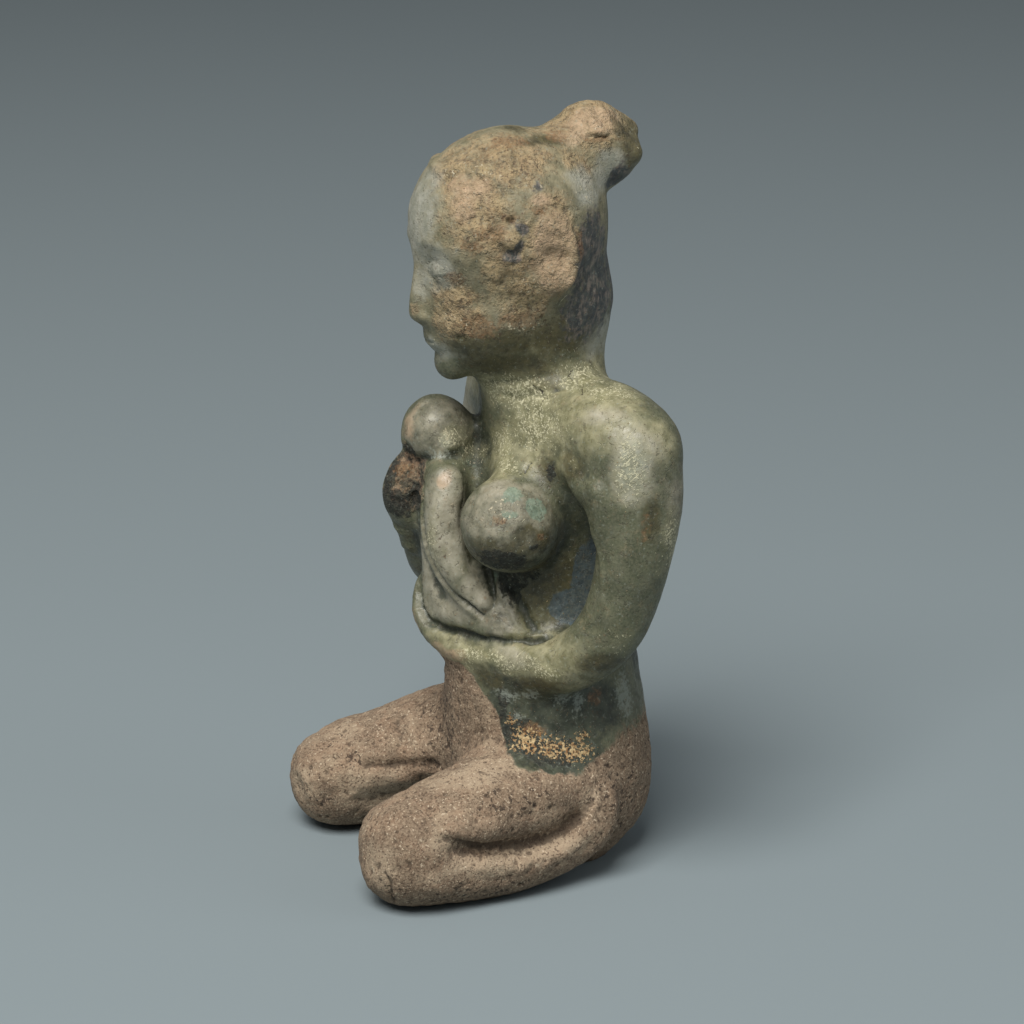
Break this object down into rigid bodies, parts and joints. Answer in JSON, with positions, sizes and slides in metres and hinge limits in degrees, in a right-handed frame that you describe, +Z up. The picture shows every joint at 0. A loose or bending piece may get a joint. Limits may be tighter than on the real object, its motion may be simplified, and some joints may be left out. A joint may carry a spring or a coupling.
{
  "type": "stoneware figure",
  "caption": "Hand-modelled stoneware figure of a kneeling woman with a topknot who holds an infant to her breast; it rests on the flat undersides of her folded legs.",
  "frame": {"origin": "on the ground, under the middle of the figure's bounding box", "axes": "+Z up; the figure faces -Y; its left arm is on the +X side"},
  "size_m": [0.0658, 0.06, 0.13],
  "materials": {
    "stoneware": "worn olive celadon glaze on the upper half, bare sandy grey-buff clay below"
  },
  "bodies": {
    "root": {"figure": "stoneware"}
  },
  "joints": []
}
